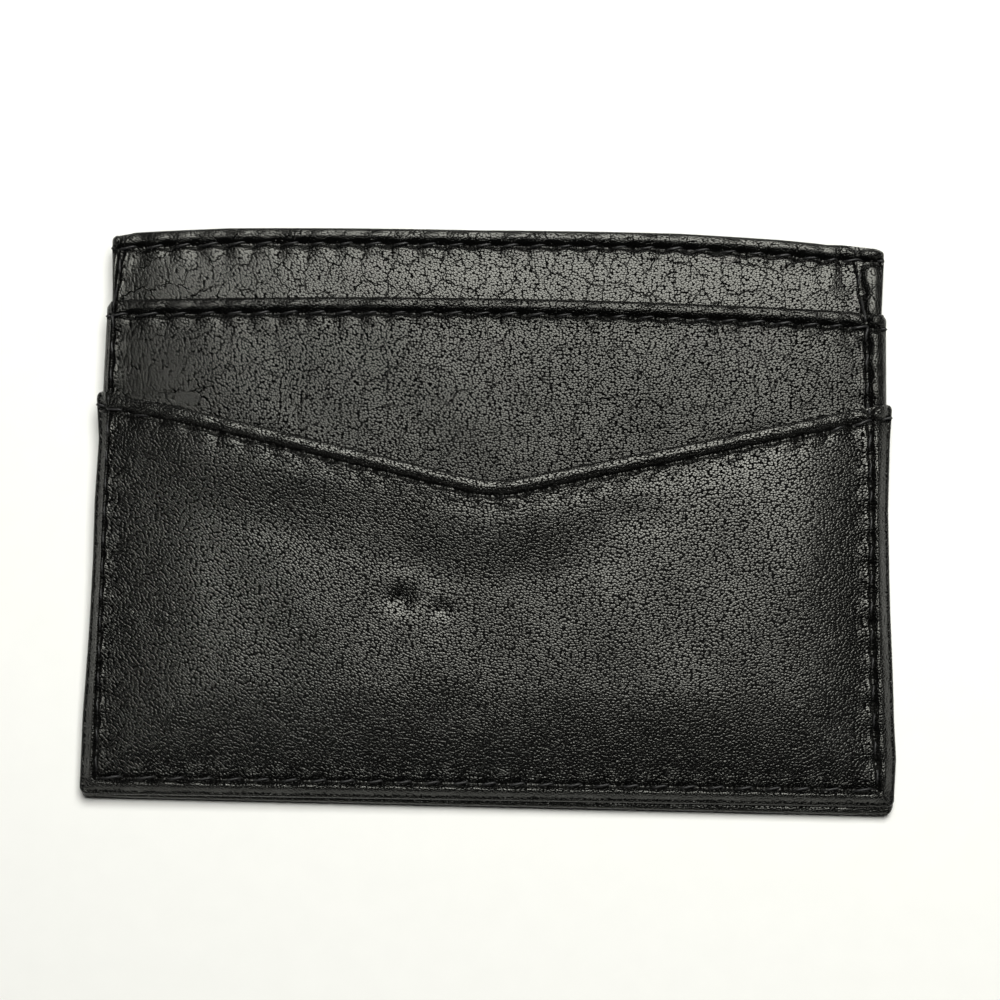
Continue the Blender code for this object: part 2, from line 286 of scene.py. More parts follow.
@dataclass
class Panel:
    """One leather panel of a half: its outline, and how deep its inner face lies at either end."""

    half_width: float
    lower_edge: float
    mouth_ends: float
    depth_low: float
    depth_mouth: float
    cut: str = "arched"
    turned: bool = False
    crown: float = 0.0
    hollows: tuple = ()

    def mouth(self, x):
        """Height of the mouth's fold at x."""
        if self.cut == "v":
            soft = (x * x / V_SOFTENING + V_SOFTENING) / 2
            across = np.where(np.abs(x) > V_SOFTENING, np.abs(x), soft)
            return self.mouth_ends - V_DEPTH * (1 - across / self.half_width)
        return self.mouth_ends + MOUTH_ARCH * (1 - (x / self.half_width) ** 2)

    def rise(self, y):
        """Share of the way up the panel at height y."""
        return (y - self.lower_edge) / (self.mouth_ends - self.lower_edge)

    def inner(self, y):
        """Depth of the face that lies on the panel or sheet beneath."""
        return between(self.depth_low, self.depth_mouth, self.rise(y))

    def thickness(self, y):
        """Even where the edges are turned, or else skived thin towards the low edge."""
        return np.full_like(y, FOLD) if self.turned else between(SKIVED_SKIN, FOLD, self.rise(y))

    def puff(self, x, y):
        """How far the pocket swells outwards, away from the seams that hold it."""
        if not self.crown:
            return np.zeros_like(x)
        from_seam = np.minimum(SIDE_SEAM - np.abs(x), y - self.lower_edge - BOTTOM_SEAM) - GROOVE_HALF
        share = np.clip(from_seam / CROWN_REACH, 0, 1)
        return self.crown * share * (2 - share)

    def outer(self, x, y):
        """Depth of the outside, without the relief of sewing and handling."""
        return self.inner(y) + self.thickness(y) + self.puff(x, y)


def stack_panels(cut, crown, strip_hollows, pocket_hollows):
    """The top, middle and outer panels of one half, each laid clear of the one beneath it."""
    at = np.zeros(1)
    top = Panel(INNER_TIER, TOP_LOWER_EDGE, TOP_MOUTH, TAIL_DEPTH, TAIL_DEPTH, hollows=strip_hollows)
    middle_depth = top.outer(at, at + MIDDLE_MOUTH)[0] + LAYER_GAP
    middle = Panel(INNER_TIER + TIER_STEP, MIDDLE_LOWER_EDGE, MIDDLE_MOUTH, OVER_TAIL_DEPTH, middle_depth)
    outer_depth = middle.outer(at, at + OUTER_MOUTH)[0] + LAYER_GAP
    outer_shape = (WIDTH / 2, BOTTOM, OUTER_MOUTH, OVER_TAIL_DEPTH, outer_depth)
    outer = Panel(*outer_shape, cut, True, crown, pocket_hollows)
    return {"top": top, "middle": middle, "outer": outer}


FRONT = stack_panels("v", CROWN, STRIP_HOLLOWS, POCKET_HOLLOWS)
BACK = stack_panels("arched", 0, (), ())


def past_side_seam(x):
    """Share of the way from the side seam's groove to the start of the outermost fold."""
    groove_edge = SIDE_SEAM + GROOVE_HALF
    return (np.abs(x) - groove_edge) / (WIDTH / 2 - FOLD_RADIUS - groove_edge)


def edge_closing(half, panel, y):
    """How far a panel's edge is drawn in at height y, clear of the centre and of the panel beneath."""
    middle = half["middle"]
    narrow = [half["top"], middle]
    shared = min((item.depth_low - LAYER_GAP / 2) / past_side_seam(item.half_width) for item in narrow)
    if panel is not half["outer"]:
        return shared
    low = np.array([middle.lower_edge])
    slack = (panel.inner(low) - middle.outer(0 * low, low))[0] - LAYER_GAP
    rise = (y - middle.lower_edge) / (panel.mouth_ends - middle.lower_edge)
    over_middle = shared + slack / past_side_seam(middle.half_width) * (1 - rise)
    return np.minimum(over_middle, panel.inner(y) - LAYER_GAP / 2)


def drawn_in(half, panel, x, y):
    """How far the leather outside the joining seam is drawn towards the other half."""
    groove_edge = BOTTOM + BOTTOM_SEAM - GROOVE_HALF
    past_bottom_seam = (groove_edge - y) / BOTTOM_MARGIN
    share = np.clip(np.maximum(past_side_seam(x), past_bottom_seam), 0, 1)
    return share**CLOSING_POWER * edge_closing(half, panel, y)


def settle(side, x, y):
    """Moves points of the straight cut to where the sewn edges and seams lie on the real wallet."""

    def shift(table):
        heights, shifts = zip(*table)
        return np.interp(y, heights, shifts)

    left = x < 0
    seam = np.where(left, shift(LEFT_SEAM_SHIFTS), shift(RIGHT_SEAM_SHIFTS))
    edge = np.where(left, shift(LEFT_EDGE_SHIFTS), shift(RIGHT_EDGE_SHIFTS))
    to_seam = eased((np.abs(x) - SIDE_SEAM + SEAM_SHIFT_REACH) / SEAM_SHIFT_REACH)
    to_edge = np.clip((np.abs(x) - SIDE_SEAM) / (INNER_TIER - SIDE_SEAM), 0, 1)
    outwards = np.where(np.abs(x) < SIDE_SEAM, seam * to_seam, between(seam, edge, to_edge))
    moved_x = x + np.where(left, -outwards, outwards)
    places, lifts = zip(*TOP_EDGE_LIFTS)
    y = y + np.interp(x, places, lifts) * eased((y - MIDDLE_MOUTH) / (TOP_MOUTH - MIDDLE_MOUTH))
    if side > 0:
        return moved_x, y
    slip = between(BACK_SLIP_LEFT, BACK_SLIP_RIGHT, x / WIDTH + 1 / 2)
    below_seam = np.clip((BOTTOM + BOTTOM_SEAM - y) / BOTTOM_SEAM, 0, 1)
    return moved_x, y - slip * below_seam


def place(side, x, y, depth):
    """Points of the front (side 1) or back (side -1), with the back's outer face on Z = 0."""
    resting = BACK["outer"].outer(np.zeros_like(y), y)
    moved_x, moved_y = settle(side, x, y)
    return np.stack([moved_x, moved_y, resting + side * depth], axis=-1)


def seam_relief(from_seam, along, groove_reach=GROOVE_REACH):
    """Height that one row of stitches gives the leather, outwards, at a distance inwards from the row."""
    at_hole = (1 + np.cos(2 * math.pi * along / STITCH)) / 2
    plump = between(*UNEVEN_SHARES, (1 + np.sin(2 * math.pi * along / UNEVEN_LENGTH)) / 2)
    width = groove_reach * between(GROOVE_NARROWEST_SHARE, GROOVE_WIDEST_SHARE, at_hole)
    relief = -SEAM_CUT * cleft(from_seam, width) * between(GROOVE_SHALLOW_SHARE, 1, at_hole)
    relief -= HOLE_DEPTH * bump(from_seam, HOLE_REACH) * at_hole**HOLE_POWER
    relief += PUFF * plump * bump(from_seam - PUFF_FROM_SEAM, PUFF_REACH) * (1 - at_hole)
    bead = BEAD_PUFF * plump * bump(from_seam + PUFF_FROM_SEAM, PUFF_REACH)
    relief += bead * between(1, BEAD_AT_HOLE_SHARE, at_hole)
    inside = np.maximum(from_seam, 0)
    past_groove = (from_seam > 0) * (1 - bump(inside, GROOVE_HALF))
    relief -= PUCKER * plump * at_hole**PUCKER_POWER * np.exp(-inside / PUCKER_REACH) * past_groove
    return relief - PULL * np.exp(-inside / PULL_REACH) * past_groove


def slack_waves(x, y):
    """Height of the soft waves of slack leather."""
    total = np.zeros_like(x)
    for height, wave_x, wave_y, start in WAVES:
        total += height * np.sin(2 * math.pi * (x / wave_x + y / wave_y + start))
    return total


def dented(panel, x, y):
    """How far the dents and hollows of a panel sink it."""
    total = np.zeros_like(x)
    for middle_x, middle_y, reach_x, reach_y, depth in panel.hollows:
        total += depth * bump(np.hypot((x - middle_x) / reach_x, (y - middle_y) / reach_y), 1)
    return total


def proud(panel, x, y):
    """How far a swollen pocket stands off along its mouth."""
    if not panel.crown:
        return np.zeros_like(x)
    places, heights = zip(*PROUD_MOUTH)
    return np.interp(x, places, heights) * (1 - eased((panel.mouth(x) - y - MOUTH_SEAM) / PROUD_REACH))


def notch(panel, x, y):
    """How far the joining thread pulls a mouth down where it goes over its fold."""
    near_mouth = eased(1 - (panel.mouth(x) - y) / NOTCH_FADE)
    return NOTCH_DEPTH * bump(np.abs(x) - SIDE_SEAM, NOTCH_REACH) * near_mouth


def sewn_relief(panel, x, y):
    """Relief that a panel's rows of stitches give it, and how deep in their grooves a point lies, 0 to 1."""
    from_mouth = panel.mouth(x) - y - MOUTH_SEAM
    from_side, from_low = SIDE_SEAM - np.abs(x), y - panel.lower_edge
    if panel.turned:
        round_corner = np.hypot(from_side, BOTTOM_SEAM - from_low)
        from_side = np.where(from_low >= BOTTOM_SEAM, from_side, round_corner)
    relief = seam_relief(from_mouth, x)
    relief = relief + seam_relief(from_side, y - BOTTOM - BOTTOM_SEAM, SIDE_GROOVE_REACH)
    groove = np.maximum(cleft(from_mouth, GROOVE_REACH), cleft(from_side, SIDE_GROOVE_REACH))
    if panel.turned:
        from_bottom = np.where(np.abs(x) < SIDE_SEAM, from_low - BOTTOM_SEAM, WIDTH)
        relief = relief + seam_relief(from_bottom, x)
        groove = np.maximum(groove, cleft(from_bottom, GROOVE_REACH))
    return np.maximum(relief, -DEEPEST_SHARE * panel.thickness(y)), groove


def leather_skin(half, side, panel, x, y):
    """Depths of a panel's outside and inside at points of its cut, how rubbed it is there, and how deep in
    the groove of a seam, where shade is painted on.
    """
    from_low = y - panel.lower_edge
    nearest = np.minimum(panel.half_width - np.abs(x), panel.mouth(x) - y)
    if panel.turned:
        nearest = np.minimum(nearest, from_low)
    nearest = np.maximum(nearest, 0)
    fold = np.sqrt(np.maximum(0, 1 - (1 - np.minimum(1, nearest / FOLD_RADIUS)) ** 2))
    half_thick = panel.thickness(y) / 2
    middle = panel.inner(y) + half_thick + panel.puff(x, y) - drawn_in(half, panel, x, y)
    relief, groove = sewn_relief(panel, x, y)
    relief = relief - dented(panel, x, y)
    field = eased(np.minimum(SIDE_SEAM - np.abs(x), from_low - BOTTOM_SEAM) / SWELL_REACH)
    if side > 0:
        relief = relief + slack_waves(x, y) * field
    else:
        # The back is pressed flat, so that its rows don't stand below the face that it lies on
        relief = relief - (PUFF + BEAD_PUFF) * eased(nearest / SEAM_ZONE)
    if panel.crown:
        middle = middle + SWELL * field + proud(panel, x, y)
    if panel is not half["outer"]:
        # Under the next panel's mouth nothing stands out, which leaves that panel its room
        cover = half["outer"] if panel is half["middle"] else half["middle"]
        shown = eased((y - cover.mouth(x)) / SEAM_ZONE)
        relief = np.where(relief > 0, relief * shown, relief)
    spare = panel.thickness(y) - SKIVED_SKIN
    within_flaps = nearest > FLAP_WIDTH + FLAP_SKIVE / 2
    recess = np.where(within_flaps, np.clip(spare, 0, FLAP), 0)
    outside = middle + half_thick * fold + relief * fold
    inside = middle - half_thick * fold + recess
    rubbed = bump(nearest - FOLD_RADIUS, FOLD_RADIUS)
    return outside, inside, rubbed, groove


def fold_insets():
    """Distances in from an edge of the lines that draw its round fold."""
    turns = [math.pi / 2 * step / FOLD_STEPS for step in range(FOLD_STEPS)]
    return [FOLD_RADIUS * (1 - math.cos(turn)) for turn in turns]


def spread(start, end, spacing):
    """Even positions from start up to, but not at, end."""
    count = max(1, round((end - start) / spacing))
    return [between(start, end, step / count) for step in range(count)]


def edge_lines(seam):
    """Distances in from an edge at which the leather is drawn finely: its fold and its seam."""
    return fold_insets() + spread(FOLD_RADIUS, seam + SEAM_ZONE, SEAM_SPACING)


def panel_grid(panel):
    """Rows and columns of points over a panel's cut, close together at folds and seams."""
    side_lines = edge_lines(panel.half_width - SIDE_SEAM)
    side_zone = panel.half_width - SIDE_SEAM + SEAM_ZONE
    half = side_lines + spread(side_zone, panel.half_width, FIELD_SPACING)
    columns = [inset - panel.half_width for inset in half]
    x = np.array(columns + [0.0] + [-column for column in reversed(columns)])
    mouth = panel.mouth(x)
    mouth_zone = MOUTH_SEAM + SEAM_ZONE
    low_lines = edge_lines(BOTTOM_SEAM) if panel.turned else [0.0]
    low_zone = BOTTOM_SEAM + SEAM_ZONE if panel.turned else FIELD_SPACING
    rows = [panel.lower_edge + inset + 0 * x for inset in low_lines]
    field = panel.mouth_ends - mouth_zone - panel.lower_edge - low_zone
    for share in spread(0, 1, FIELD_SPACING / field):
        rows.append(between(panel.lower_edge + low_zone, mouth - mouth_zone, share))
    rows += [mouth - inset for inset in reversed(edge_lines(MOUTH_SEAM) + [mouth_zone])]
    y = np.array(rows)
    return np.broadcast_to(x, y.shape).copy(), y


def round_corners(panel, x, y):
    """Draws the square corners of a panel's cut in to arcs."""
    from_side = panel.half_width - np.abs(x)
    mouth = panel.mouth(x)
    for from_end, at_mouth in ((mouth - y, True), (y - panel.lower_edge, False)):
        if not at_mouth and not panel.turned:
            continue
        over_side, over_end = CORNER_RADIUS - from_side, CORNER_RADIUS - from_end
        corner = (over_side > 0) & (over_end > 0)
        pull = np.maximum(over_side, over_end) / np.maximum(np.hypot(over_side, over_end), LEAST_LENGTH)
        x = np.where(corner, np.copysign(panel.half_width - CORNER_RADIUS + over_side * pull, x), x)
        end = CORNER_RADIUS - over_end * pull
        y = np.where(corner, mouth - end if at_mouth else panel.lower_edge + end, y)
    return x, y


def add_object(name, data):
    made = bpy.data.objects.new(name, data)
    bpy.context.scene.collection.objects.link(made)
    return made


def add_mesh(name, points, faces, material):
    mesh = bpy.data.meshes.new(name)
    mesh.from_pydata([tuple(point) for point in points], [], faces)
    mesh.materials.append(material)
    return add_object(name, mesh)


def belongs(piece):
    """Says that a piece rides on the wallet and stands for the CAD node of its name."""
    node = piece.name.removeprefix("sewn_")
    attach(piece, "root")
    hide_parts(node)
    return piece


def quads(at):
    """The corners of every square of a grid of points, as the points' numbers."""
    return np.stack([at[:-1, :-1], at[:-1, 1:], at[1:, 1:], at[1:, :-1]], axis=-1).reshape(-1, 4)


def facing(side, faces):
    """Faces of one half, turned to look out of it."""
    return faces if side > 0 else [face[::-1] for face in faces]


def kept_lines(distances, reach):
    """Which lines the inside keeps: the fold, the turned flaps' edge, and a few between."""
    wanted = fold_insets() + [FOLD_RADIUS, FLAP_WIDTH, FLAP_WIDTH + FLAP_SKIVE]
    wanted += spread(FLAP_WIDTH + INSIDE_SPACING, reach, INSIDE_SPACING)
    return {int(np.abs(distances - inset).argmin()) for inset in wanted}


def inside_lines(panel, x, y):
    """The rows and columns of a panel's points that its plainer inside keeps."""
    wide = x.shape[1]
    middle_column = wide // 2
    columns = kept_lines(panel.half_width - np.abs(x[0, :middle_column]), panel.half_width)
    columns |= {wide - 1 - column for column in columns} | {middle_column}
    from_mouth = panel.mouth(x[0, :1]) - y[:, 0]
    half_way = from_mouth[0] / 2
    rows = kept_lines(from_mouth, half_way) | {0}
    if panel.turned:
        rows |= kept_lines(y[:, 0] - panel.lower_edge, half_way)
    return sorted(rows), sorted(columns)


def inside_faces(panel, at, below, rows, columns):
    """Faces of a panel's inside. Those along an edge take in every point that the outside has there."""
    last_row, last_column = at.shape[0] - 1, at.shape[1] - 1
    faces = []
    for low, high in zip(rows, rows[1:]):
        for left, right in zip(columns, columns[1:]):
            path = [below[low, left]]
            if low == 0 and panel.turned:
                path += at[0, left + 1 : right].tolist()
            path.append(below[low, right])
            if right == last_column:
                path += at[low + 1 : high, right].tolist()
            path.append(below[high, right])
            if high == last_row:
                path += at[high, right - 1 : left : -1].tolist()
            path.append(below[high, left])
            if left == 0:
                path += at[high - 1 : low : -1, left].tolist()
            faces.append(path[::-1])
    if panel.turned:
        return faces
    for left, right in zip(columns, columns[1:]):
        wall = [below[0, left], below[0, right]] + at[0, left : right + 1].tolist()[::-1]
        faces.append(list(dict.fromkeys(wall)))
    return faces


def add_leather(node, side, half, panel, material):
    """A leather panel as one closed skin: its worked outside, rounded folds and turned flaps inside."""
    x, y = panel_grid(panel)
    rows, columns = inside_lines(panel, x, y)
    outside, inside, rubbed, groove_shade = leather_skin(half, side, panel, x, y)
    x, y = round_corners(panel, x, y)
    y = y - notch(panel, x, y)
    over = place(side, x, y, outside).reshape(-1, 3)
    under = place(side, x, y, inside)
    at = np.arange(x.size).reshape(x.shape)
    last_row, last_column = x.shape[0] - 1, x.shape[1] - 1
    below, inner_points = {}, []
    for row in rows:
        for column in columns:
            on_fold = column in (0, last_column) or row == last_row or (row == 0 and panel.turned)
            below[row, column] = int(at[row, column]) if on_fold else len(over) + len(inner_points)
            if not on_fold:
                inner_points.append(under[row, column])
    outer_faces = quads(at).tolist()
    faces = facing(side, outer_faces + inside_faces(panel, at, below, rows, columns))
    made = add_mesh("sewn_" + node, np.concatenate([over, np.array(inner_points)]), faces, material)
    spare = np.zeros(len(inner_points))
    # The groove mask carries the shade that the leather's colour paints into its seam grooves
    for name, values in (("rubbed", rubbed), ("groove_shade", groove_shade)):
        layer = made.data.attributes.new(name, "FLOAT", "POINT")
        layer.data.foreach_set("value", np.concatenate([values.ravel(), spare]).astype(np.float32))
    made.data.polygons.foreach_set("use_smooth", np.arange(len(faces)) < len(outer_faces))
    return belongs(made)


def through(points):
    """A smooth line through points, with rings of a thread evenly along it."""
    points = np.array(points)
    ahead = np.vstack([points[1:], points[-1:]])
    behind = np.vstack([points[:1], points[:-1]])
    line = []
    for before, start, end, after in zip(behind, points, ahead, ahead[1:]):
        count = max(1, round(np.linalg.norm(end - start) / RING_SPACING))
        for share in np.arange(count) / count:
            bent = (2 * before - 5 * start + 4 * end - after) * share**2
            twisted = (3 * start - before - 3 * end + after) * share**3
            line.append((2 * start + (end - before) * share + bent + twisted) / 2)
    return np.array(line + [points[-1]])


def twisted_tube(points):
    """Points and faces of a closed tube round a line, ridged by the plies of a twisted thread."""
    line = through(points)
    ahead = np.gradient(line, axis=0)
    ahead /= np.linalg.norm(ahead, axis=1)[:, None]
    run = np.concatenate([[0], np.cumsum(np.linalg.norm(np.diff(line, axis=0), axis=1))])
    turn = 2 * math.pi * np.arange(THREAD_SIDES) / THREAD_SIDES
    up = np.array([0.0, 1.0, 0.0]) if abs(ahead[0, 2]) > abs(ahead[0, 1]) else np.array([0.0, 0.0, 1.0])
    rings = []
    for point, forward, distance in zip(line, ahead, run):
        up = up - forward * (up @ forward)
        up /= np.linalg.norm(up)
        across = np.cross(forward, up)
        ply = np.cos(PLIES * (turn - 2 * math.pi * distance / PLY_LAY))
        radius = THREAD_RADIUS * (1 - PLY_SHARE + PLY_SHARE * ply)
        rings.append(point + radius[:, None] * (np.outer(np.cos(turn), across) + np.outer(np.sin(turn), up)))
    last = (len(rings) - 1) * THREAD_SIDES
    start_cap = list(range(THREAD_SIDES))
    faces = [start_cap, [last + corner for corner in reversed(start_cap)]]
    for first in range(0, last, THREAD_SIDES):
        second = first + THREAD_SIDES
        for corner in range(THREAD_SIDES):
            after = (corner + 1) % THREAD_SIDES
            faces.append([first + after, first + corner, second + corner, second + after])
    return np.concatenate(rings), faces


def add_thread(node, points, material):
    """A twisted thread along points."""
    made = add_mesh("sewn_" + node, *twisted_tube(points), material)
    made.data.polygons.foreach_set("use_smooth", np.ones(len(made.data.polygons), bool))
    return belongs(made)


def stitch_points(half, side, panel, start, end, path, sink=THREAD_SINK):
    """Points of a thread along a seam: down at each hole, slanting and lifted between holes."""
    count = max(1, round(abs(end - start) / STITCH))
    steps = [(stitch, shape) for stitch in range(count) for shape in STITCH_SHARES]
    points = []
    for stitch, (along, aside, high) in steps + [(count, STITCH_SHARES[0])]:
        position = between(start, end, (stitch + along) / count)
        x, y = path(position, aside * STITCH_SLANT)
        at_x, at_y = np.array([x]), np.array([y])
        plain = panel.outer(at_x, at_y) + proud(panel, at_x, at_y) - drawn_in(half, panel, at_x, at_y)
        lift = high * (STITCH_LIFT if high > 0 else HOLE_DIP)
        points.append(place(side, at_x, at_y, plain - sink + lift)[0])
    return points


def over_edge(half, side, panel, y, sign):
    """Points of a thread that goes round the side fold of a panel."""
    points = []
    at_y = np.array([y])
    edge_x = np.array([panel.half_width])
    middle = panel.inner(at_y) + panel.thickness(at_y) / 2 - drawn_in(half, panel, edge_x, at_y)
    for degrees in FOLD_TURNS:
        turn = math.radians(degrees)
        x = panel.half_width - FOLD_RADIUS + FOLD_RADIUS * math.cos(turn)
        points.append(place(side, np.array([sign * x]), at_y, middle + FOLD_RADIUS * math.sin(turn))[0])
    return points


def add_mouth_thread(node, side, half, panel, material):
    """The row of stitches below a mouth, whose ends are sewn off round the side folds."""

    def path(x, aside):
        return x, float(panel.mouth(np.array([x]))[0]) - MOUTH_SEAM + THREAD_RISE + aside

    end = STITCH * round(SIDE_SEAM / STITCH)
    y = path(panel.half_width, 0)[1]
    row = stitch_points(half, side, panel, -end, end, path)
    left, right = (over_edge(half, side, panel, y, sign) for sign in (-1, 1))
    return add_thread(node, left[::-1] + row + right, material)


def over_mouth(half, side, panel, x):
    """Points of one pass of the joining thread over a mouth: in the groove, on the fold, behind it."""
    at_x = np.array([x])
    mouth = panel.mouth(at_x)
    groove, fold = mouth - TACK_REACH, mouth - NOTCH_DEPTH + THREAD_RADIUS / 2
    in_groove = panel.outer(at_x, groove) - drawn_in(half, panel, at_x, groove) - THREAD_SINK
    on_fold = panel.outer(at_x, mouth) - drawn_in(half, panel, at_x, mouth) - FOLD_RADIUS
    behind = np.array([THREAD_RADIUS])
    steps = ((groove, in_groove), (fold, on_fold), (fold, behind))
    return [place(side, at_x, y, depth)[0] for y, depth in steps]


def side_run(half, side, sign):
    """Points of the joining thread up one side: in each groove, over each mouth, and tacked at the top."""
    x = sign * SIDE_SEAM

    def path(y, aside):
        return x + sign * aside, y

    points = []
    hole = BOTTOM + BOTTOM_SEAM
    for name in ("outer", "middle", "top"):
        panel = half[name]
        mouth = float(panel.mouth(np.array([x]))[0])
        last = hole + STITCH * math.floor((mouth - FOLD_RADIUS - hole) / STITCH)
        points += stitch_points(half, side, panel, hole, last, path, SIDE_THREAD_SINK)
        if name != "top":
            points += over_mouth(half, side, panel, x)[:2]
        hole = last + STITCH
    passes = [over_mouth(half, side, half["top"], x + sign * aside) for aside in TACK_PLACES]
    for turned, steps in enumerate(passes):
        points += steps[::-1] if turned % 2 else steps
    return points


def add_edge_thread(node, side, half, material):
    """The seam that joins the halves: down one side, along the bottom and up the other side."""

    def path(x, aside):
        return x, BOTTOM + BOTTOM_SEAM + aside

    left, right = side_run(half, side, -1), side_run(half, side, 1)
    row = stitch_points(half, side, half["outer"], -SIDE_SEAM, SIDE_SEAM, path)
    return add_thread(node, left[::-1] + row[1:-1] + right, material)


def add_sheet(node, side, half_width, lower, upper, depth, thickness, finish, slot, held_by):
    """A thin sheet between two edges, whose upper one may be curved."""
    columns = np.linspace(-half_width, half_width, 2 * max(1, round(half_width / SHEET_SPACING)) + 1)
    top = upper(columns)
    length = float(top.max() - lower)
    tall = max(2, round(length / SHEET_SPACING)) + 1
    x = np.broadcast_to(columns, (tall, len(columns))).copy()
    y = between(lower, top[None, :], np.linspace(0, 1, tall)[:, None])
    near, far = (place(side, x, y, depth(y) + away).reshape(-1, 3) for away in (0, thickness))
    at = np.arange(x.size).reshape(x.shape)
    rim = list(at[0]) + list(at[1:, -1]) + list(at[-1, -2::-1]) + list(at[-2:0:-1, 0])
    faces = quads(at)[:, ::-1].tolist() + (quads(at) + x.size).tolist()
    faces += [[int(a), int(b), int(b) + x.size, int(a) + x.size] for a, b in zip(rim, rim[1:] + rim[:1])]
    made = add_mesh("sewn_" + node, np.concatenate([near, far]), facing(side, faces), finish)
    belongs(made)
    return made


# A colour mix has its two colours and its result at these places among its sockets
COLOUR_A, COLOUR_B, COLOUR_OUT = 6, 7, 2
NOISE_MIDDLE = (0.5, 0.5, 0.5)


def linear(code):
    """An sRGB hex colour as linear red, green, blue and full cover."""
    parts = [int(code[at : at + 2], 16) / 255 for at in (1, 3, 5)]
    return (*[part / 12.92 if part <= 0.04045 else ((part + 0.055) / 1.055) ** 2.4 for part in parts], 1)


def fill(tree, node, inputs):
    """Sets a node's inputs, or links those that another node gives."""
    for socket, value in inputs.items():
        if isinstance(value, bpy.types.NodeSocket):
            tree.links.new(value, node.inputs[socket])
        else:
            node.inputs[socket].default_value = value


def add_node(tree, kind, inputs=None, **settings):
    """Adds a node with its settings, and sets or links its inputs."""
    made = tree.nodes.new("ShaderNode" + kind)
    for name, value in settings.items():
        setattr(made, name, value)
    fill(tree, made, inputs or {})
    return made


def worked_out(tree, operation, *values, **settings):
    """What a sum with numbers or other nodes' results comes to."""
    return add_node(tree, "Math", dict(enumerate(values)), operation=operation, **settings).outputs[0]


def ranged(tree, inputs, **settings):
    """A value carried over from one range to another and held at its ends."""
    return add_node(tree, "MapRange", inputs, **settings).outputs[0]


def fading(tree, value, start, end, **settings):
    """1 up to the start of a range, falling to 0 at its end."""
    falling = {"Value": value, "From Min": start, "From Max": end, "To Min": 1.0, "To Max": 0.0}
    return ranged(tree, falling, **settings)


def mixed(tree, share, first, second):
    """Two colours mixed by a share."""
    inputs = {0: share, COLOUR_A: first, COLOUR_B: second}
    return add_node(tree, "Mix", inputs, data_type="RGBA").outputs[COLOUR_OUT]


def per(size):
    """A texture's scale for a pattern that repeats at this real size."""
    return 1 / size


def noise(tree, spot, size, detail):
    """The results of soft noise with spots of about this size, and as many finer layers as its detail."""
    return add_node(tree, "TexNoise", {"Vector": spot, "Scale": per(size), "Detail": detail}).outputs


def cells(tree, spot, size, kind):
    """Distance from the middle or the rim of cells that lie scattered over the leather."""
    pattern = {"Vector": spot, "Scale": per(size), "Randomness": 1.0}
    return add_node(tree, "TexVoronoi", pattern, voronoi_dimensions="2D", feature=kind).outputs["Distance"]


def swayed(tree, point, spot, size, detail, reach):
    """A point moved aside, by up to half the reach, by the noise at a spot."""
    noisy = noise(tree, spot, size, detail)["Color"]
    centred = add_node(tree, "VectorMath", {0: noisy, 1: NOISE_MIDDLE}, operation="SUBTRACT").outputs[0]
    push = add_node(tree, "VectorMath", {0: centred, "Scale": reach}, operation="SCALE").outputs[0]
    return add_node(tree, "VectorMath", {0: point, 1: push}, operation="ADD").outputs[0]


def stretched(tree, spot, scale):
    """The point of a pattern that shows at a spot when the pattern is drawn out by a scale."""
    return add_node(tree, "Mapping", {"Vector": spot, "Scale": scale}, vector_type="TEXTURE").outputs[0]


def new_material(name):
    """A new material, its nodes, the shader of its surface and the place on the object that is seen."""
    made = bpy.data.materials.new(name)
    made.use_nodes = True
    tree = made.node_tree
    return made, tree, tree.nodes["Principled BSDF"], add_node(tree, "TexCoord").outputs["Object"]


# The leather in three states of wear: size of its pebbles, height of its grain, and as shares the shade
# painted into its pits, where they are also rougher, the depth of its creases, painted darker too, and the
# strength of its glaze
LEATHERS = {
    # The outer pocket, glossiest on its tops and with the most shade painted into its pits
    "glazed_full_grain_leather": (0.00028, 0.00018, 1.0, 0.12, 0.42),
    # The middle pocket, duller and more even
    "fine_full_grain_leather": (0.00026, 0.00014, 0.6, 0.30, 0.27),
    # The strip at the top, cracked into smooth plates by handling
    "creased_full_grain_leather": (0.00026, 0.00009, 0.40, 1.0, 0.35),
}

# Pebbles of the leather's grain: how their tops, pits and rims are shaped, and how much shade is painted on
# the rims
DOME_POWER = 3.7
RIM_WIDTH_SHARE = 0.065
RIM_SHARE = 0.10
RIM_SHADE_SHARE = 0.5
PIT_FROM_SHARE = 0.30
PIT_TO_SHARE = 0.75
PORE = 0.00032
PORE_SHARE = 0.03
SMOOTHED_SHARE = 0.20

# How the pebbles lie: drawn out along the width, in arcs, and strayed from them
PEBBLE_STRETCH = 1.35
FLOW_BEND = 4.0
FLOW_MIDDLE = 0.0200
GRAIN_DRIFT = 0.0030
GRAIN_DRIFT_REACH = 0.00060
WOBBLE = 0.0006
WOBBLE_REACH = 0.00012

# Creases: the plates between them, how they sway, and where they break off
PLATE = 0.0024
CREASE_WIDTH_SHARE = 0.035
CREASE_STRETCH = 1.5
CREASE_SWAY = 0.0011
CREASE_SWAY_REACH = 0.0014
CREASE_BREAK = 0.0022
CREASE_BREAK_SHARES = (0.34, 0.54)

# Gloss, wear and dye of the leather, and the shade painted into the grooves of its seams
PIT_ROUGHNESS = 0.27
TOP_ROUGHNESS = 0.19
PATCH = 0.0120
PATCH_ROUGHENING_SHARE = 0.05
WORN_SHARE = 0.2
SEAM_GROOVE_SHADE_SHARE = 0.9
LEATHER_REFRACTION = 1.5

# Thread, lining and film
FIBRE = 0.00006
FIBRE_HEIGHT = 0.00001
THREAD_ROUGHNESS = 0.5
THREAD_SHEEN_SHARE = 0.1
WEAVE_THREAD = 0.0004
WEAVE_HEIGHT = 0.00003
WEAVE_UNEVENNESS = 0.3
CLOTH_ROUGHNESS = 0.7
CLOTH_SHEEN_SHARE = 0.25
FOIL_CRINKLE = 0.0015
FOIL_CRINKLE_HEIGHT = 0.00004
FILM_ROUGHNESS = (0.28, 0.55)
FILM_METAL_SHARE = 0.85

